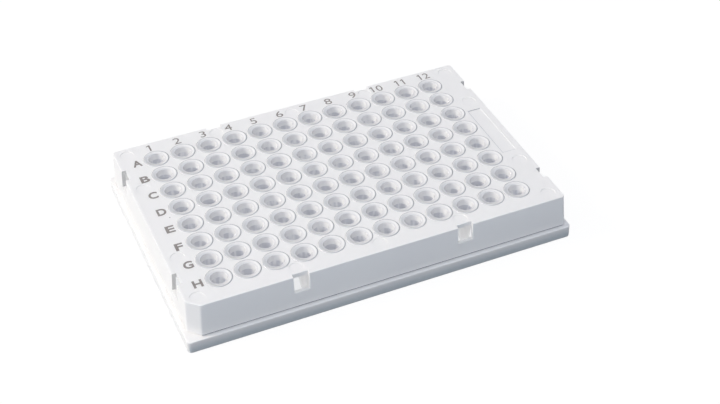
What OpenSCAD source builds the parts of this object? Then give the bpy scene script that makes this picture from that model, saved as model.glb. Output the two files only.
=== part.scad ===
// 96-well plate with a full skirt, moulded in one piece.
// The origin is the centre of the footprint, on the surface that the plate stands on.
// X runs towards column 12, Y towards row A, Z up out of the wells.

/* [Footprint] */
// Length of the foot along X
base_l = 127.76; // [110:0.1:160]
// Width of the foot along Y
base_w = 85.48; // [75:0.1:110]
// Height of the stepped foot
base_h = 4; // [2:0.1:6]
// Radius of the foot's vertical corners
base_corner_r = 1.4; // [1:0.1:4]
// Rounding along the foot's upper edge
base_edge_r = 0.3; // [0.1:0.1:0.9]

/* [Skirt and deck] */
// Height of the deck surface above the table
deck_z = 15.45; // [14.8:0.05:20]
// Step from the foot in to the skirt, at the ledge
ledge_w = 1.25; // [0.8:0.05:3]
// Inward lean of the long walls over their height
side_draft = 0.7; // [0.05:0.05:1.5]
// Inward lean of the end walls over their height
end_draft = 0.85; // [0.05:0.05:1.5]
// Depth of the groove that sets the skirt off from the foot
groove_d = 0.3; // [0.1:0.05:0.5]
// Height of the groove
groove_h = 0.4; // [0.2:0.05:1]
// Thickness of the skirt wall
skirt_wall = 1.15; // [0.8:0.05:2]
// Radius of the skirt's vertical corners
skirt_corner_r = 1.2; // [0.5:0.1:3]
// Radius of the hollow's vertical corners
hollow_corner_r = 0.6; // [0.3:0.1:2]
// Rounding along the deck's outer edge
deck_edge_r = 0.2; // [0.1:0.05:0.8]
// Thickness of the deck
deck_t = 1.5; // [0.8:0.05:2]
// Leg of the bevel that marks the H1 corner
key_bevel = 3.6; // [2:0.1:6]

/* [Wells] */
// Number of columns
cols = 12; // [2:1:12]
// Number of rows
rows = 8; // [2:1:8]
// Distance between neighbouring wells
pitch = 9; // [7:0.1:9]
// Radius of the mouth
mouth_r = 2.65; // [2.2:0.05:2.9]
// Depth of the steep neck below the deck
neck_depth = 2.3; // [1:0.1:5]
// How much narrower the neck is at its foot than at the mouth, in radius
neck_taper = 0.18; // [0.05:0.01:0.5]
// Depth of the well below the deck, inside
well_depth = 14.1; // [8:0.1:14.3]
// Inside radius of the round bottom
tip_r = 1.25; // [0.6:0.05:2]
// Thickness of the well wall
well_wall = 0.45; // [0.3:0.05:0.8]

/* [Rims] */
// Height of the rim above the deck
rim_h = 0.15; // [0.1:0.05:0.6]
// Width of the ring, from the mouth to the rim's foot on the deck
rim_w = 1.55; // [1.3:0.05:1.8]
// Width of the rim's outer slope
rim_slope = 0.2; // [0.05:0.01:0.4]
// Width of the flat lip on top of the rim
lip_w = 0.15; // [0.05:0.01:0.3]
// Step from the lip down to the flat collar
lip_step = 0.04; // [0.02:0.01:0.2]
// Width of the lead-in slope between the collar and the mouth
lead_w = 0.6; // [0.2:0.05:0.8]
// Fall of the lead-in slope
lead_fall = 0.13; // [0.05:0.01:0.4]

/* [Windows] */
// Distance of each window from the middle of its side, in well pitches
window_place = 3; // [2:0.5:4]
// Width of a window
window_w = 5; // [3:0.1:8]
// Height of a window, down from the deck surface
window_h = 6; // [3:0.1:9]
// Depth of the notch that each window cuts into the deck
window_notch = 1.4; // [1.2:0.1:2.5]

/* [Deck marks] */
// Diameter of the ejector marks
mark_d = 4.6; // [3:0.1:6]
// Depth of the ejector marks
mark_depth = 0.15; // [0.05:0.01:0.3]
// Distance of the marks' centres from the deck's edges
mark_inset = 3.9; // [3.5:0.1:6]
// Length of the label pocket
pocket_l = 25.2; // [10:0.1:30]
// Width of the label pocket
pocket_w = 4.7; // [3:0.1:5.5]
// Depth of the label pocket
pocket_depth = 0.15; // [0.05:0.01:0.4]
// Distance of the label pocket's middle from the deck's right edge
pocket_inset = 4.7; // [3.5:0.1:6]

/* [Hidden] */
// Overlap that lets neighbouring shapes fuse
eps = 0.01;
// Reach of a cut past the surface it opens
past = 1;
// Straight steps that round a corner, an edge and a well's bottom
corner_steps = 7;
edge_steps = 6;
tip_steps = 4;
// Sides of the turned shapes
round_fn = 48;

skirt_l = base_l - 2 * ledge_w;
skirt_w = base_w - 2 * ledge_w;
deck_l = skirt_l - 2 * end_draft;
deck_w = skirt_w - 2 * side_draft;
ceiling_z = deck_z - deck_t;
// The foot is as thick over its hollow as the skirt wall
foot_ceiling_z = base_h - skirt_wall;
neck_r = mouth_r - neck_taper;
neck_z = deck_z - neck_depth;
tip_z = deck_z - well_depth + tip_r;
rim_r = mouth_r + rim_w;
rim_top_z = deck_z + rim_h;
lip_r = rim_r - rim_slope - lip_w;
collar_z = rim_top_z - lip_step;
mouth_z = collar_z - lead_fall;

// Points along an arc about [x, y]
function arc(x, y, r, from, to) =
    [for (i = [0 : corner_steps])
        let (a = from + (to - from) * i / corner_steps) [x + r * cos(a), y + r * sin(a)]];

// Outline of a rectangle with four round corners
function box_outline(l, w, r) =
    let (x = l / 2 - r, y = w / 2 - r)
    concat(arc(x, y, r, 0, 90), arc(-x, y, r, 90, 180), arc(-x, -y, r, 180, 270),
        arc(x, -y, r, 270, 360));

// The same outline with the H1 corner bevelled at 45 degrees
function key_outline(l, w, r) =
    let (x = l / 2 - r, y = w / 2 - r, k = key_bevel - r * (2 - sqrt(2)))
    concat(arc(x, y, r, 0, 90), arc(-x, y, r, 90, 180), arc(-x, -y + k, r, 180, 225),
        arc(-x + k, -y, r, 225, 270), arc(x, -y, r, 270, 360));

// Quarter circle from the bottom of a well out to its side
function bottom(r) =
    [for (i = [0 : tip_steps])
        let (a = 90 * i / tip_steps) [r * sin(a), tip_z - r * cos(a)]];

// Thin sheet of an outline, to be hulled with others
module slice(z, points) {
    translate([0, 0, z]) linear_extrude(eps) polygon(points);
}

// Foot that the plate stands on, with its upper edge rounded
module foot() {
    hull() {
        slice(0, box_outline(base_l, base_w, base_corner_r));
        for (i = [0 : edge_steps]) {
            a = 90 * i / edge_steps;
            in = base_edge_r * (1 - cos(a));
            slice(base_h - base_edge_r * (1 - sin(a)) - eps,
                box_outline(base_l - 2 * in, base_w - 2 * in, base_corner_r - in));
        }
    }
}

// Leaning skirt and deck as one block, with the deck's edge rounded
module skirt() {
    hull() {
        slice(foot_ceiling_z, key_outline(skirt_l, skirt_w, skirt_corner_r));
        for (i = [0 : edge_steps]) {
            a = 90 * i / edge_steps;
            in = deck_edge_r * (1 - cos(a));
            slice(deck_z - deck_edge_r * (1 - sin(a)) - eps,
                key_outline(deck_l - 2 * in, deck_w - 2 * in, skirt_corner_r));
        }
    }
}

// Space under the deck, wider inside the foot
module hollow() {
    hull() {
        slice(foot_ceiling_z,
            key_outline(skirt_l - 2 * skirt_wall, skirt_w - 2 * skirt_wall, hollow_corner_r));
        slice(ceiling_z - eps,
            key_outline(deck_l - 2 * skirt_wall, deck_w - 2 * skirt_wall, hollow_corner_r));
    }
    translate([0, 0, -past])
        linear_extrude(foot_ceiling_z + past + eps)
            polygon(box_outline(base_l - 2 * skirt_wall, base_w - 2 * skirt_wall, hollow_corner_r));
}

// Outside of one well, from the deck down to the round bottom
module tube() {
    rotate_extrude($fn = round_fn)
        polygon(concat([[0, deck_z - eps], [0, tip_z - tip_r - well_wall]],
            [for (p = bottom(tip_r + well_wall)) if (p[0] > 0) p],
            [[neck_r + well_wall, neck_z], [mouth_r + well_wall, deck_z - eps]]));
}

// Raised ring around one mouth, rooted in the deck
module rim() {
    rotate_extrude($fn = round_fn)
        polygon([[0, ceiling_z + eps], [rim_r, ceiling_z + eps], [rim_r, deck_z],
            [rim_r - rim_slope, rim_top_z], [0, rim_top_z]]);
}

// Inside of one well: round bottom, cone, steep neck, lead-in slope and the collar inside the lip
module bore() {
    rotate_extrude($fn = round_fn)
        polygon(concat([[0, rim_top_z + past], [0, tip_z - tip_r]],
            [for (p = bottom(tip_r)) if (p[0] > 0) p],
            [[neck_r, neck_z], [mouth_r, mouth_z], [mouth_r + lead_w, collar_z], [lip_r, collar_z],
                [lip_r, rim_top_z + past]]));
}

// Groove round the foot of the skirt
module groove() {
    translate([0, 0, base_h]) linear_extrude(groove_h) difference() {
        polygon(box_outline(base_l, base_w, base_corner_r));
        polygon(key_outline(skirt_l - 2 * groove_d, skirt_w - 2 * groove_d, skirt_corner_r));
    }
}

// Places a shape at every well
module at_wells() {
    for (c = [0 : cols - 1], r = [0 : rows - 1])
        translate([(c - (cols - 1) / 2) * pitch, ((rows - 1) / 2 - r) * pitch]) children();
}

// Box that cuts one window through the skirt and into the deck, for the wall at y = -reach
module window(reach) {
    translate([-window_w / 2, -reach - past, deck_z - window_h])
        cube([window_w, window_notch + past, window_h + past]);
}

// Two windows in each of the four walls
module windows() {
    for (s = [-1, 1]) {
        translate([s * window_place * pitch, 0]) window(deck_w / 2);
        translate([s * window_place * pitch, 0]) rotate(180) window(deck_w / 2);
        translate([0, s * window_place * pitch]) rotate(90) window(deck_l / 2);
        translate([0, s * window_place * pitch]) rotate(-90) window(deck_l / 2);
    }
}

// Shallow round mark that an ejector pin leaves
module mark(x, y) {
    translate([x, y, deck_z - mark_depth]) cylinder(d = mark_d, h = past, $fn = round_fn);
}

// Marks in the corners and along the four margins of the deck
module marks() {
    x = deck_l / 2 - mark_inset;
    y = deck_w / 2 - mark_inset;
    for (s = [-1, 1]) {
        for (place = [-y, -2 * pitch, 2 * pitch, y]) mark(s * x, place);
        for (place = [-3 * pitch, 0, 3 * pitch]) mark(place, s * y);
    }
}

// Shallow pocket for a label, in the right margin
module pocket() {
    translate([deck_l / 2 - pocket_inset - pocket_w / 2, -pocket_l / 2, deck_z - pocket_depth])
        cube([pocket_w, pocket_l, past]);
}

// The whole moulding
module plate() {
    color("white") difference() {
        union() {
            difference() {
                union() {
                    foot();
                    skirt();
                }
                hollow();
            }
            at_wells() tube();
            at_wells() rim();
        }
        at_wells() bore();
        groove();
        windows();
        marks();
        pocket();
    }
}

plate();
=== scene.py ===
import bpy
import bmesh
import math
from mathutils import Matrix, Vector


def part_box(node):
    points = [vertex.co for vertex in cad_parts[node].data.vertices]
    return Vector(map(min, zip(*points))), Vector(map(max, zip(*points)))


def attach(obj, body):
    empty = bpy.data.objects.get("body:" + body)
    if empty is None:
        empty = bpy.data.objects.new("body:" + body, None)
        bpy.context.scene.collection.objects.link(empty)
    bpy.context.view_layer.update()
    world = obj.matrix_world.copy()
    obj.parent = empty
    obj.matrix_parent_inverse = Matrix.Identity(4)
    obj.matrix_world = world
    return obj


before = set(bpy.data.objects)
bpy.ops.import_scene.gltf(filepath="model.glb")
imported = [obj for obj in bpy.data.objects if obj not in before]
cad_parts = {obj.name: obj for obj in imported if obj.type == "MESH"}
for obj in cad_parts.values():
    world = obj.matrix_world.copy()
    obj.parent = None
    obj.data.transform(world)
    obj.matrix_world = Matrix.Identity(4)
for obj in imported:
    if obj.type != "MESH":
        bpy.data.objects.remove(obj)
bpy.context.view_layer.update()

scene = bpy.context.scene
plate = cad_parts["plate"]
mm = 0.001
grid = {
    "pitch": 9 * mm,
    "columns": 12,
    "rows": 8,
    "deckTop": 15.45 * mm,
}
print("frame loaded")


def linearColour(hexCode):
    # sRGB hex to the linear values that shaders take
    channels = [int(hexCode[i:i + 2], 16) / 255 for i in (0, 2, 4)]
    return [c / 12.92 if c < 0.0405 else ((c + 0.055) / 1.055) ** 2.4 for c in channels] + [1]


def addNode(tree, kind, settings=None, links=None):
    # settings are node attributes by name, or socket values by socket name or number
    node = tree.nodes.new(kind)
    for key, value in (settings or {}).items():
        if isinstance(key, str) and hasattr(node, key):
            setattr(node, key, value)
        else:
            node.inputs[key].default_value = value
    for key, source in (links or {}).items():
        tree.links.new(source, node.inputs[key])
    return node


def newMaterial(name):
    material = bpy.data.materials.new(name)
    material.use_nodes = True
    return material, material.node_tree, material.node_tree.nodes["Principled BSDF"]


def fillRamp(ramp, stops):
    # stops are (position, hex colour), lowest first
    elements = ramp.color_ramp.elements
    while len(elements) < len(stops):
        elements.new(0.5)
    for element, (position, hexCode) in zip(elements, stops):
        element.position = position
        element.color = linearColour(hexCode)


# Injection-moulded polypropylene: white and satin, with light that sinks in a little way, so that
# edges glow and the thin rims and well walls look greyer and glossier than the thick deck.
# part of the rims' and wells' grey is painted shade, and the wells carry painted highlights and a painted
# glow
plateLook = {
    "deck": "f8f6f4",
    "deckClouded": "f3f3f3",
    "ringReach": 5 * mm,       # distance that the ring's ramp spans
    # the ring is greyer, with painted shade at the mouth's edge and in a thin line just inside the lip
    "ringTonesAndShade": [(0.56, "e6e6e7"), (0.63, "eaeaea"), (0.67, "f4f4f3"), (0.75, "f2f2f1"),
                  (0.775, "dfe0e2"), (0.83, "e1e2e3"), (0.85, "f8f6f4")],
    "ringEdge": 4.25 * mm,
    "riseFrom": 3.0 * mm,
    "riseTo": 3.85 * mm,
    "riseHeight": 0.26 * mm,
    "rollFrom": 3.88 * mm,
    "rollTo": 4.32 * mm,
    "rollHeight": 0.28 * mm,
    "neck": "fbfbfb",
    # painted shade: the thin wall below the neck is darker
    "well": "e0e1e5",
    # painted highlight streaks down the well's wall
    "wellHighlightStreak": "f8f8f9",
    # painted light: paler tone deep in the well, also the colour of its painted glow
    "wellBottomPaintedLight": "fefefe",
    "deepFrom": 11.5 * mm,
    "deepTo": 9.5 * mm,
    "wellWallSlope": 0.1156,   # the middle of the well's wall has a radius that grows with height,
    "wellWallFoot": 1.174 * mm,   # from this radius at the table
    # strength of the painted glow deep in the wells
    "wellPaintedGlow": 0.06,
    "streak": 1.3 * mm,
    "streakStretch": 0.25,
    "streakFrom": 0.46,
    "streakTo": 0.66,
    "toneStepZ": 13.3 * mm,    # where the thin wall of the well starts below the neck
    "toneStepHalf": 0.1 * mm,
    "mouthZ": 15.35 * mm,
    "wellReach": 3.2 * mm,
    "roughness": 0.42,
    "smoother": 0.04,          # how far the flow marks swing the roughness, down and up
    "rougher": 0.05,
    "unevenFrom": 0.3,
    "unevenTo": 0.7,
    "ringRoughness": 0.2,
    "ior": 1.49,
    "softDepth": 0.25 * mm,
    "grain": 0.35 * mm,        # spark-eroded mould grain is nearer 0.1 mm, drawn coarser so that it shows
    "grainDepth": 0.006 * mm,
    "grainStrength": 0.5,
    "cloud": 22 * mm,          # slow flow marks
    "cloudFrom": 0.45,
    "cloudTo": 0.75,
    "cloudMost": 0.6,
    # painted shade in the groove over the foot, along the long sides
    "grooveShade": "9599a0",
    "grooveInside": 41 * mm,
    "grooveZ": 4.21 * mm,
    "grooveHalf": 0.2 * mm,
    "footShade": "dbe2e5",         # painted shade on the long sides of the foot, darker towards the bottom
    "footInside": 42.4 * mm,
    "footShadeTop": 3.7 * mm,
    "footShadeFull": 1.2 * mm,
    # painted shade along three edges of the label pocket
    "pocketShade": "c6c8cb",
    "pocketShadeHalf": 0.12 * mm,
    "pocketShadeEnd": 59.3 * mm,
    "pocketShadeBelow": 0.2 * mm,   # the painted shade line reaches this far under the mouths' height
    "pocketPlace": (57.08 * mm, 0, grid["deckTop"]),
    "pocketHalf": (2.35 * mm, 12.6 * mm, 0),
    "jambShade": "d9d8d6",          # painted shade on the cut sides of the end windows
    "jambPlace": 27 * mm,      # middle of an end window, from the middle of its side
    "jambHalf": 2.5 * mm,
    "jambInside": 60.0 * mm,
    "jambFoot": 9.4 * mm,
    "jambFilm": 0.04 * mm,
    "speck": "77736f",
    "speckPlace": (-54.4 * mm, 0.9 * mm, grid["deckTop"]),
    "speckSize": 0.22 * mm,
    "speckCore": 0.5,          # share of its radius that is fully dark
}


def toNearestWell(tree, place):
    # distance, seen from above, to the middle of the nearest well
    pitch = grid["pitch"]
    lastWell = ((grid["columns"] - 1) / 2 * pitch, (grid["rows"] - 1) / 2 * pitch, 0)
    flat = addNode(tree, "ShaderNodeVectorMath", {"operation": "MULTIPLY", 1: (1, 1, 0)}, {0: place})
    cell = addNode(tree, "ShaderNodeVectorMath", {"operation": "SNAP", 1: (pitch, pitch, 1)},
                   {0: flat.outputs[0]})
    middle = addNode(tree, "ShaderNodeVectorMath", {"operation": "ADD", 1: (pitch / 2, pitch / 2, 0)},
                     {0: cell.outputs[0]})
    notPast = addNode(tree, "ShaderNodeVectorMath", {"operation": "MINIMUM", 1: lastWell},
                      {0: middle.outputs[0]})
    nearest = addNode(tree, "ShaderNodeVectorMath", {"operation": "MAXIMUM",
                      1: [-v for v in lastWell]}, {0: notPast.outputs[0]})
    return addNode(tree, "ShaderNodeVectorMath", {"operation": "DISTANCE"},
                   {0: flat.outputs[0], 1: nearest.outputs[0]}).outputs["Value"]


def topTones(tree, radius, cloud, onRing, look):
    # the deck with slow flow marks, and the ring from its lead-in slope out to the lip, with painted shade at
    # the mouth's edge and just inside the lip
    clouding = addNode(tree, "ShaderNodeMapRange", {1: look["cloudFrom"], 2: look["cloudTo"], 3: 0.0,
                       4: look["cloudMost"]}, {0: cloud})
    deck = addNode(tree, "ShaderNodeMix", {"data_type": "RGBA", 6: linearColour(look["deck"]),
                   7: linearColour(look["deckClouded"])}, {0: clouding.outputs[0]})
    ringPlace = addNode(tree, "ShaderNodeMath", {"operation": "DIVIDE", 1: look["ringReach"]}, {0: radius})
    ring = addNode(tree, "ShaderNodeValToRGB", links={0: ringPlace.outputs[0]})
    fillRamp(ring, look["ringTonesAndShade"])
    return addNode(tree, "ShaderNodeMix", {"data_type": "RGBA"},
                   {0: onRing, 6: deck.outputs[2], 7: ring.outputs[0]}).outputs[2]


def wellTones(tree, place, height, deep, look):
    # neck above and thin wall below, the thin wall darker as painted shade and with painted highlight streaks
    # down it
    stretched = addNode(tree, "ShaderNodeVectorMath", {"operation": "MULTIPLY",
                        1: (1, 1, look["streakStretch"])}, {0: place})
    streak = addNode(tree, "ShaderNodeTexNoise", {"Scale": 1 / look["streak"], "Detail": 1.0},
                     {0: stretched.outputs[0]}).outputs[0]
    streaking = addNode(tree, "ShaderNodeMapRange", {1: look["streakFrom"], 2: look["streakTo"]},
                        {0: streak})
    streaked = addNode(tree, "ShaderNodeMix", {"data_type": "RGBA", 6: linearColour(look["well"]),
                       7: linearColour(look["wellHighlightStreak"])}, {0: streaking.outputs[0]}).outputs[2]
    # painted light: deep down the wall is paler, standing in for the light that the round bottom gathers from
    # all round it
    thinWall = addNode(tree, "ShaderNodeMix", {"data_type": "RGBA", 7: linearColour(look["wellBottomPaintedLight"])},
                       {0: deep, 6: streaked}).outputs[2]
    inNeck = addNode(tree, "ShaderNodeMapRange", {1: look["toneStepZ"] - look["toneStepHalf"],
                     2: look["toneStepZ"] + look["toneStepHalf"]}, {0: height})
    return addNode(tree, "ShaderNodeMix", {"data_type": "RGBA", 7: linearColour(look["neck"])},
                   {0: inNeck.outputs[0], 6: thinWall}).outputs[2]


def longSidePaintedShade(tree, axes, colour, look):
    # along the long sides, painted shade darkens the groove over the foot and the foot low down, darker
    # towards the bottom
    fromMiddle = addNode(tree, "ShaderNodeMath", {"operation": "ABSOLUTE"}, {0: axes[1]})
    outside = addNode(tree, "ShaderNodeMath", {"operation": "GREATER_THAN", 1: look["grooveInside"]},
                      {0: fromMiddle.outputs[0]})
    level = addNode(tree, "ShaderNodeMath", {"operation": "COMPARE", 1: look["grooveZ"],
                    2: look["grooveHalf"]}, {0: axes[2]})
    inGroove = addNode(tree, "ShaderNodeMath", {"operation": "MULTIPLY"},
                       {0: outside.outputs[0], 1: level.outputs[0]})
    grooveShaded = addNode(tree, "ShaderNodeMix", {"data_type": "RGBA", 7: linearColour(look["grooveShade"])},
                    {0: inGroove.outputs[0], 6: colour}).outputs[2]
    onFoot = addNode(tree, "ShaderNodeMath", {"operation": "GREATER_THAN", 1: look["footInside"]},
                     {0: fromMiddle.outputs[0]})
    lowDown = addNode(tree, "ShaderNodeMapRange", {1: look["footShadeTop"], 2: look["footShadeFull"]},
                      {0: axes[2]})
    footShading = addNode(tree, "ShaderNodeMath", {"operation": "MULTIPLY"},
                       {0: onFoot.outputs[0], 1: lowDown.outputs[0]})
    return addNode(tree, "ShaderNodeMix", {"data_type": "RGBA", 7: linearColour(look["footShade"])},
                   {0: footShading.outputs[0], 6: grooveShaded}).outputs[2]


def endWindowSideShade(tree, axes, colour, look):
    # painted shade: the cut sides of the windows in both end walls are darker
    fromMiddle = addNode(tree, "ShaderNodeMath", {"operation": "ABSOLUTE"}, {0: axes[1]})
    fromWindow = addNode(tree, "ShaderNodeMath", {"operation": "SUBTRACT", 1: look["jambPlace"]},
                         {0: fromMiddle.outputs[0]})
    acrossWindow = addNode(tree, "ShaderNodeMath", {"operation": "ABSOLUTE"}, {0: fromWindow.outputs[0]})
    onJamb = addNode(tree, "ShaderNodeMath", {"operation": "COMPARE", 1: look["jambHalf"],
                     2: look["jambFilm"]}, {0: acrossWindow.outputs[0]})
    fromCentre = addNode(tree, "ShaderNodeMath", {"operation": "ABSOLUTE"}, {0: axes[0]})
    atEnd = addNode(tree, "ShaderNodeMath", {"operation": "GREATER_THAN", 1: look["jambInside"]},
                    {0: fromCentre.outputs[0]})
    overSill = addNode(tree, "ShaderNodeMath", {"operation": "GREATER_THAN", 1: look["jambFoot"]},
                       {0: axes[2]})
    inEndWall = addNode(tree, "ShaderNodeMath", {"operation": "MULTIPLY"},
                        {0: onJamb.outputs[0], 1: atEnd.outputs[0]})
    jambShading = addNode(tree, "ShaderNodeMath", {"operation": "MULTIPLY"},
                      {0: inEndWall.outputs[0], 1: overSill.outputs[0]})
    return addNode(tree, "ShaderNodeMix", {"data_type": "RGBA", 7: linearColour(look["jambShade"])},
                   {0: jambShading.outputs[0], 6: colour}).outputs[2]


def darkSpeck(tree, place, colour, look):
    # one dark speck is moulded into the deck
    toSpeck = addNode(tree, "ShaderNodeVectorMath", {"operation": "DISTANCE", 1: look["speckPlace"]},
                      {0: place})
    onSpeck = addNode(tree, "ShaderNodeMapRange", {1: look["speckSize"],
                      2: look["speckCore"] * look["speckSize"]}, {0: toSpeck.outputs["Value"]})
    return addNode(tree, "ShaderNodeMix", {"data_type": "RGBA", 7: linearColour(look["speck"])},
                   {0: onSpeck.outputs[0], 6: colour}).outputs[2]


def pocketEdgeShade(tree, place, axes, colour, look):
    # painted shade in a fine line round three sides of the label pocket
    fromPocket = addNode(tree, "ShaderNodeVectorMath", {"operation": "SUBTRACT", 1: look["pocketPlace"]},
                         {0: place})
    spread = addNode(tree, "ShaderNodeVectorMath", {"operation": "ABSOLUTE"}, {0: fromPocket.outputs[0]})
    outOfPocket = addNode(tree, "ShaderNodeVectorMath", {"operation": "SUBTRACT", 1: look["pocketHalf"]},
                          {0: spread.outputs[0]})
    pocketAxes = addNode(tree, "ShaderNodeSeparateXYZ", links={0: outOfPocket.outputs[0]}).outputs
    pocketEdge = addNode(tree, "ShaderNodeMath", {"operation": "MAXIMUM"},
                         {0: pocketAxes[0], 1: pocketAxes[1]})
    onEdge = addNode(tree, "ShaderNodeMath", {"operation": "COMPARE", 1: 0.0, 2: look["pocketShadeHalf"]},
                     {0: pocketEdge.outputs[0]})
    threeSides = addNode(tree, "ShaderNodeMath", {"operation": "LESS_THAN", 1: look["pocketShadeEnd"]},
                         {0: axes[0]})
    onTop = addNode(tree, "ShaderNodeMath", {"operation": "GREATER_THAN",
                    1: look["mouthZ"] - look["pocketShadeBelow"]}, {0: axes[2]})
    line = addNode(tree, "ShaderNodeMath", {"operation": "MULTIPLY"},
                   {0: onEdge.outputs[0], 1: threeSides.outputs[0]})
    pocketShading = addNode(tree, "ShaderNodeMath", {"operation": "MULTIPLY"},
                       {0: line.outputs[0], 1: onTop.outputs[0]})
    return addNode(tree, "ShaderNodeMix", {"data_type": "RGBA", 7: linearColour(look["pocketShade"])},
                   {0: pocketShading.outputs[0], 6: colour}).outputs[2]


def wellLight(tree, radius, height, deep, look):
    # painted glow: deep down the inside of the well glows a little, standing in for light that comes through
    # the thin wall
    midWall = addNode(tree, "ShaderNodeMath", {"operation": "MULTIPLY_ADD", 1: look["wellWallSlope"],
                      2: look["wellWallFoot"]}, {0: height})
    inside = addNode(tree, "ShaderNodeMath", {"operation": "LESS_THAN"}, {0: radius, 1: midWall.outputs[0]})
    lit = addNode(tree, "ShaderNodeMath", {"operation": "MULTIPLY"}, {0: deep, 1: inside.outputs[0]})
    return addNode(tree, "ShaderNodeMath", {"operation": "MULTIPLY", 1: look["wellPaintedGlow"]},
                   {0: lit.outputs[0]}).outputs[0]


def mouldedRelief(tree, place, radius, look):
    # fine grain, a collar that rises to the lip, and a lip that rolls over to the deck
    grain = addNode(tree, "ShaderNodeTexNoise", {"Scale": 1 / look["grain"], "Detail": 2.0}, {0: place})
    grained = addNode(tree, "ShaderNodeBump", {"Strength": look["grainStrength"],
                      "Distance": look["grainDepth"]}, {"Height": grain.outputs[0]})
    rise = addNode(tree, "ShaderNodeMapRange", {"interpolation_type": "SMOOTHSTEP", 1: look["riseFrom"],
                   2: look["riseTo"], 3: 0.0, 4: look["riseHeight"]}, {0: radius})
    roll = addNode(tree, "ShaderNodeMapRange", {"interpolation_type": "SMOOTHSTEP", 1: look["rollFrom"],
                   2: look["rollTo"], 3: 0.0, 4: look["rollHeight"]}, {0: radius})
    relief = addNode(tree, "ShaderNodeMath", {"operation": "SUBTRACT"},
                     {0: rise.outputs[0], 1: roll.outputs[0]})
    return addNode(tree, "ShaderNodeBump", {"Strength": 1.0, "Distance": 1.0},
                   {"Height": relief.outputs[0], "Normal": grained.outputs[0]}).outputs[0]


def moulded(look):
    material, tree, surface = newMaterial("polypropylene_moulded_white")
    place = addNode(tree, "ShaderNodeTexCoord").outputs["Object"]
    axes = addNode(tree, "ShaderNodeSeparateXYZ", links={0: place}).outputs
    height = axes[2]
    radius = toNearestWell(tree, place)
    cloud = addNode(tree, "ShaderNodeTexNoise", {"Scale": 1 / look["cloud"], "Detail": 3.0},
                    {0: place}).outputs[0]
    onRing = addNode(tree, "ShaderNodeMath", {"operation": "LESS_THAN", 1: look["ringEdge"]},
                     {0: radius}).outputs[0]
    deep = addNode(tree, "ShaderNodeMapRange", {1: look["deepFrom"], 2: look["deepTo"]},
                   {0: height}).outputs[0]

    nearWell = addNode(tree, "ShaderNodeMath", {"operation": "LESS_THAN", 1: look["wellReach"]}, {0: radius})
    underMouth = addNode(tree, "ShaderNodeMath", {"operation": "LESS_THAN", 1: look["mouthZ"]}, {0: height})
    inWell = addNode(tree, "ShaderNodeMath", {"operation": "MULTIPLY"},
                     {0: nearWell.outputs[0], 1: underMouth.outputs[0]}).outputs[0]
    top = topTones(tree, radius, cloud, onRing, look)
    well = wellTones(tree, place, height, deep, look)
    colour = addNode(tree, "ShaderNodeMix", {"data_type": "RGBA"}, {0: inWell, 6: top, 7: well}).outputs[2]
    colour = longSidePaintedShade(tree, axes, colour, look)
    colour = endWindowSideShade(tree, axes, colour, look)
    colour = darkSpeck(tree, place, colour, look)
    colour = pocketEdgeShade(tree, place, axes, colour, look)
    tree.links.new(colour, surface.inputs["Base Color"])

    tree.links.new(wellLight(tree, radius, height, deep, look), surface.inputs["Emission Strength"])
    surface.inputs["Emission Color"].default_value = linearColour(look["wellBottomPaintedLight"])

    uneven = addNode(tree, "ShaderNodeMapRange", {1: look["unevenFrom"], 2: look["unevenTo"],
                     3: look["roughness"] - look["smoother"], 4: look["roughness"] + look["rougher"]},
                     {0: cloud})
    gloss = addNode(tree, "ShaderNodeMix", {"data_type": "FLOAT", 3: look["ringRoughness"]},
                    {0: onRing, 2: uneven.outputs[0]})
    tree.links.new(gloss.outputs[0], surface.inputs["Roughness"])
    tree.links.new(mouldedRelief(tree, place, radius, look), surface.inputs["Normal"])
    surface.inputs["IOR"].default_value = look["ior"]
    surface.inputs["Subsurface Weight"].default_value = 1.0
    surface.inputs["Subsurface Radius"].default_value = (1, 1, 1)
    surface.inputs["Subsurface Scale"].default_value = look["softDepth"]
    return material


plate.data.materials.clear()
plate.data.materials.append(moulded(plateLook))
print("plate material made")


# Pad-printed ink: thin, matt and warm grey, a little lighter where the pad left less.
indexPrint = {
    "ink": "8b8581",
    "thinInk": "a09b97",
    "patch": 0.8 * mm,
    "patchFrom": 0.35,
    "patchTo": 0.7,
    "patchDepth": 0.004 * mm,
    "patchStrength": 0.3,
    "roughness": 0.6,
    "letterHeight": 3.2 * mm,
    "numberHeight": 3.35 * mm,
    "letterWeight": 0.03,      # how much the letters' strokes are fattened, in heights of the type
    "letterX": -56.0 * mm,
    "numberY": 37.95 * mm,
    "film": 0.015 * mm,
    "widen": {"A": 0.9, "B": 1.26, "C": 0.98, "D": 0.97, "E": 1.4, "F": 1.33, "G": 0.98, "H": 1.03,
              "1": 1.15, "10": 1.06, "11": 1.0, "12": 0.98},
    "nudge": {"1": -0.7 * mm, "6": 0.35 * mm, "7": 0.35 * mm, "8": 0.25 * mm, "9": 0.4 * mm,
              "10": 0.35 * mm, "11": 0.25 * mm, "12": 0.4 * mm},
    "flag": [(0, 0), (-0.14, -0.1), (-0.1, -0.17), (0, -0.11)],   # stroke at the top of a 1
    "usualWiden": 1.18,
    "curveSteps": 4,
    "footBand": 0.005,         # height in the type that still counts as the foot of a stem
    "weld": 0.0005 * mm,
}


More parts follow.
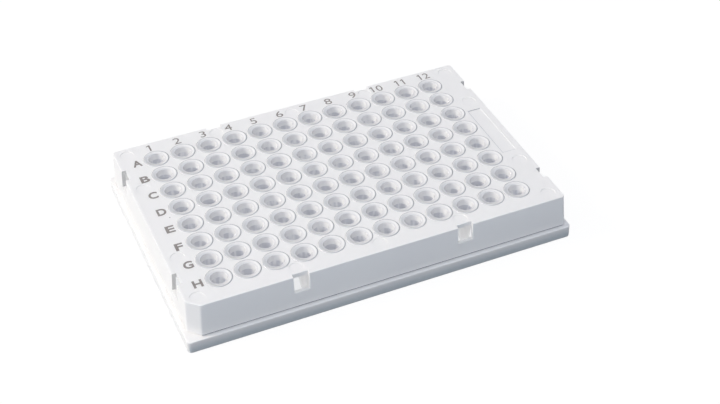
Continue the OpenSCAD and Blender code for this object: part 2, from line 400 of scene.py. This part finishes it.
def inkMaterial(look):
    material, tree, surface = newMaterial("ink_pad_printed_grey")
    place = addNode(tree, "ShaderNodeTexCoord").outputs["Object"]
    patches = addNode(tree, "ShaderNodeTexNoise", {"Scale": 1 / look["patch"], "Detail": 3.0},
                      {0: place}).outputs[0]
    thin = addNode(tree, "ShaderNodeMapRange", {1: look["patchFrom"], 2: look["patchTo"]}, {0: patches})
    colour = addNode(tree, "ShaderNodeMix", {"data_type": "RGBA", 6: linearColour(look["ink"]),
                     7: linearColour(look["thinInk"])}, {0: thin.outputs[0]})
    tree.links.new(colour.outputs[2], surface.inputs["Base Color"])
    bump = addNode(tree, "ShaderNodeBump", {"Strength": look["patchStrength"],
                   "Distance": look["patchDepth"]}, {"Height": patches})
    tree.links.new(bump.outputs[0], surface.inputs["Normal"])
    surface.inputs["Roughness"].default_value = look["roughness"]
    return material


def characterMesh(text, look):
    curve = bpy.data.curves.new("character", "FONT")
    curve.body = text
    curve.align_x = "CENTER"
    curve.offset = look["letterWeight"] if text.isalpha() else 0
    curve.resolution_u = look["curveSteps"]
    carrier = bpy.data.objects.new("character", curve)
    scene.collection.objects.link(carrier)
    bpy.context.view_layer.update()
    mesh = bpy.data.meshes.new_from_object(carrier.evaluated_get(bpy.context.evaluated_depsgraph_get()))
    bpy.data.objects.remove(carrier)
    return mesh


def addFlags(mesh, count, look):
    # the typeface's 1 is a bare stem, so it gets a short slanting stroke at its top left
    feet = sorted({round(v.co.x, 3) for v in mesh.vertices if v.co.y < look["footBand"]})
    top = max(v.co.y for v in mesh.vertices if v.co.x < feet[1])
    glyph = bmesh.new()
    glyph.from_mesh(mesh)
    for stem in feet[::2][:count]:
        glyph.faces.new([glyph.verts.new((stem + x, top + y, 0)) for x, y in look["flag"]])
    glyph.to_mesh(mesh)
    glyph.free()


def makeIndex(look):
    # capitals down the left margin, numbers along the back one
    typeHeight = max(v.co.y for v in characterMesh("H", look).vertices)
    whole = bmesh.new()
    rowMiddle = (grid["rows"] - 1) / 2
    columnMiddle = (grid["columns"] - 1) / 2
    marks = [(letter, look["letterX"], (rowMiddle - r) * grid["pitch"])
             for r, letter in enumerate("ABCDEFGH")]
    marks += [(str(c + 1), (c - columnMiddle) * grid["pitch"], look["numberY"])
              for c in range(grid["columns"])]
    for text, x, y in marks:
        mesh = characterMesh(text, look)
        size = look["letterHeight"] if text.isalpha() else look["numberHeight"]
        scale = size / typeHeight
        if "1" in text:
            addFlags(mesh, text.count("1"), look)
        middle = (min(v.co.x for v in mesh.vertices) + max(v.co.x for v in mesh.vertices)) / 2
        widen = look["widen"].get(text, look["usualWiden"])
        x += look["nudge"].get(text, 0)
        mesh.transform(Matrix.Translation((x, y - size / 2, grid["deckTop"] + look["film"]))
                       @ Matrix.Diagonal((scale * widen, scale, 1, 1))
                       @ Matrix.Translation((-middle, 0, 0)))
        whole.from_mesh(mesh)
    bmesh.ops.remove_doubles(whole, verts=whole.verts, dist=look["weld"])
    mesh = bpy.data.meshes.new("indexPrint")
    whole.to_mesh(mesh)
    whole.free()
    piece = bpy.data.objects.new("indexPrint", mesh)
    scene.collection.objects.link(piece)
    piece.data.materials.append(inkMaterial(look))
    return piece


index = makeIndex(indexPrint)
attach(index, "root")
print("index printed")


studio = {
    "floorSize": 6.0,
    "floorGap": 0.05 * mm,
    "floorRoughness": 0.9,
    "floorColour": "b3bcc4",
    # a dark strip painted on the floor along the front, standing for shade
    "shadeStripTone": "12161c",
    "shadeStripWidth": 14 * mm,
    "shadeStripGap": 0.1 * mm,
    "glowColour": "f4f5f7",
    "glowUnder": 0.9,
    "glowInset": 1 * mm,
    "floorWhite": 0.93,
    "shadowTone": (0.1, 0.1, 0.1, 1),   # linear grey
    "skyLow": "e3eaf9",
    "skyHigh": "ecf0f9",
    "skyLowStrength": 0.18,
    "skyHighStrength": 0.86,
    "backdrop": "ffffff",
    # azimuth, height angle, distance, size, watts, colour
    "lamps": {"keyLamp": (160, 35, 2.0, 0.5, 19.8, "fff4e6"),
              "fillLamp": (-130, 48, 1.2, 0.8, 2.3, "e9effc"),
              "bounceCard": (-153, 15, 1.2, 0.6, 2.0, "f7f5f6")},
}


def floorMaterial(look, low, high):
    # white to the eye with a faint shadow, plain pale paper to the light, and a dark strip along the
    # front, painted shade, that keeps bounced light off the foot
    material, tree, surface = newMaterial("studio_paper_white")
    place = addNode(tree, "ShaderNodeTexCoord").outputs["Object"]
    depth = addNode(tree, "ShaderNodeSeparateXYZ", links={0: place}).outputs[1]
    offShadeStrip = addNode(tree, "ShaderNodeMapRange", {1: low.y, 2: low.y - look["shadeStripWidth"], 3: 0.0, 4: 1.0},
                      {0: depth})
    behind = addNode(tree, "ShaderNodeMath", {"operation": "GREATER_THAN", 1: low.y + look["shadeStripGap"]},
                     {0: depth})
    paper = addNode(tree, "ShaderNodeMath", {"operation": "MAXIMUM"},
                    {0: offShadeStrip.outputs[0], 1: behind.outputs[0]})
    tone = addNode(tree, "ShaderNodeMix", {"data_type": "RGBA", 6: linearColour(look["shadeStripTone"]),
                   7: linearColour(look["floorColour"])}, {0: paper.outputs[0]})
    tree.links.new(tone.outputs[2], surface.inputs["Base Color"])
    # inOpen is 1 on the open floor and 0 under the plate
    middle = [(a + b) / 2 for a, b in zip(low, high)]
    half = [(b - a) / 2 - look["glowInset"] for a, b in zip(low, high)]
    fromMiddle = addNode(tree, "ShaderNodeVectorMath", {"operation": "SUBTRACT", 1: middle}, {0: place})
    folded = addNode(tree, "ShaderNodeVectorMath", {"operation": "ABSOLUTE"}, {0: fromMiddle.outputs[0]})
    beyond = addNode(tree, "ShaderNodeVectorMath", {"operation": "SUBTRACT", 1: half}, {0: folded.outputs[0]})
    beyondAxes = addNode(tree, "ShaderNodeSeparateXYZ", links={0: beyond.outputs[0]}).outputs
    furthest = addNode(tree, "ShaderNodeMath", {"operation": "MAXIMUM"}, {0: beyondAxes[0], 1: beyondAxes[1]})
    inOpen = addNode(tree, "ShaderNodeMath", {"operation": "GREATER_THAN", 1: 0.0}, {0: furthest.outputs[0]})
    surface.inputs["Roughness"].default_value = look["floorRoughness"]
    rays = addNode(tree, "ShaderNodeLightPath").outputs
    mirrored = addNode(tree, "ShaderNodeMath", {"operation": "MAXIMUM"},
                       {0: rays["Is Glossy Ray"], 1: rays["Is Transmission Ray"]})
    looking = addNode(tree, "ShaderNodeMath", {"operation": "MAXIMUM"},
                      {0: rays["Is Camera Ray"], 1: mirrored.outputs[0]})
    seen = addNode(tree, "ShaderNodeMath", {"operation": "MULTIPLY"},
                   {0: looking.outputs[0], 1: inOpen.outputs[0]})
    glow = addNode(tree, "ShaderNodeEmission", {"Strength": look["floorWhite"]})
    shade = addNode(tree, "ShaderNodeBsdfDiffuse", {"Color": look["shadowTone"]})
    white = addNode(tree, "ShaderNodeAddShader", links={0: glow.outputs[0], 1: shade.outputs[0]})
    mixed = addNode(tree, "ShaderNodeMixShader", links={0: seen.outputs[0], 1: surface.outputs[0],
                    2: white.outputs[0]})
    # under the plate the floor glows, in place of the light that real plastic lets through
    table = addNode(tree, "ShaderNodeEmission", {"Color": linearColour(look["glowColour"]),
                    "Strength": look["glowUnder"]})
    placed = addNode(tree, "ShaderNodeMixShader", links={0: inOpen.outputs[0], 1: table.outputs[0],
                     2: mixed.outputs[0]})
    tree.links.new(placed.outputs[0], tree.nodes["Material Output"].inputs[0])
    return material


def makeFloor(look, low, high):
    sheet = bmesh.new()
    bmesh.ops.create_grid(sheet, x_segments=1, y_segments=1, size=look["floorSize"] / 2)
    bmesh.ops.translate(sheet, verts=sheet.verts, vec=(0, 0, low.z - look["floorGap"]))
    mesh = bpy.data.meshes.new("studioFloor")
    sheet.to_mesh(mesh)
    sheet.free()
    floor = bpy.data.objects.new("studioFloor", mesh)
    scene.collection.objects.link(floor)
    mesh.materials.append(floorMaterial(look, low, high))
    return floor


def makeSky(look):
    # soft light that grows towards the top, and plain white behind the object
    world = bpy.data.worlds.new("studioSky")
    world.use_nodes = True
    tree = world.node_tree
    low = tree.nodes["Background"]
    low.inputs[0].default_value = linearColour(look["skyLow"])
    low.inputs[1].default_value = look["skyLowStrength"]
    high = addNode(tree, "ShaderNodeBackground", {0: linearColour(look["skyHigh"]),
                   1: look["skyHighStrength"]})
    direction = addNode(tree, "ShaderNodeTexCoord").outputs["Generated"]
    rise = addNode(tree, "ShaderNodeSeparateXYZ", links={0: direction}).outputs[2]
    soft = addNode(tree, "ShaderNodeMixShader", links={0: rise, 1: low.outputs[0], 2: high.outputs[0]})
    backdrop = addNode(tree, "ShaderNodeBackground", {0: linearColour(look["backdrop"]), 1: 1.0})
    rays = addNode(tree, "ShaderNodeLightPath").outputs
    chosen = addNode(tree, "ShaderNodeMixShader", links={0: rays["Is Camera Ray"], 1: soft.outputs[0],
                     2: backdrop.outputs[0]})
    tree.links.new(chosen.outputs[0], tree.nodes["World Output"].inputs[0])
    scene.world = world


def hangLamp(name, azimuth, rise, distance, size, watts, colour):
    # angles are in degrees, and the lamp looks at the origin
    lamp = bpy.data.lights.new(name, "AREA")
    lamp.size = size
    lamp.energy = watts
    lamp.color = linearColour(colour)[:3]
    holder = bpy.data.objects.new(name, lamp)
    scene.collection.objects.link(holder)
    turn = Matrix.Rotation(math.radians(azimuth), 3, "Z") @ Matrix.Rotation(-math.radians(rise), 3, "Y")
    toLamp = turn @ Vector((1, 0, 0))
    holder.location = toLamp * distance
    holder.rotation_euler = toLamp.to_track_quat("Z", "Y").to_euler()


makeFloor(studio, *[Vector(corner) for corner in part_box("plate")])
makeSky(studio)
for name, lampSettings in studio["lamps"].items():
    hangLamp(name, *lampSettings)
print("studio lit")


camera = {
    "place": (-125.33 * mm, -323.29 * mm, 287.95 * mm),
    "turn": (50.6217, 0.9699, -23.3781),
    "lens": 68.657,
    "sensor": 36,
    "nearest": 10 * mm,
}
shot = bpy.data.cameras.new("camera")
shot.lens = camera["lens"]
shot.sensor_width = camera["sensor"]
shot.clip_start = camera["nearest"]
viewer = bpy.data.objects.new("camera", shot)
viewer.location = camera["place"]
viewer.rotation_euler = [math.radians(a) for a in camera["turn"]]
scene.collection.objects.link(viewer)
scene.camera = viewer
scene.view_settings.view_transform = "Standard"
print("camera placed")
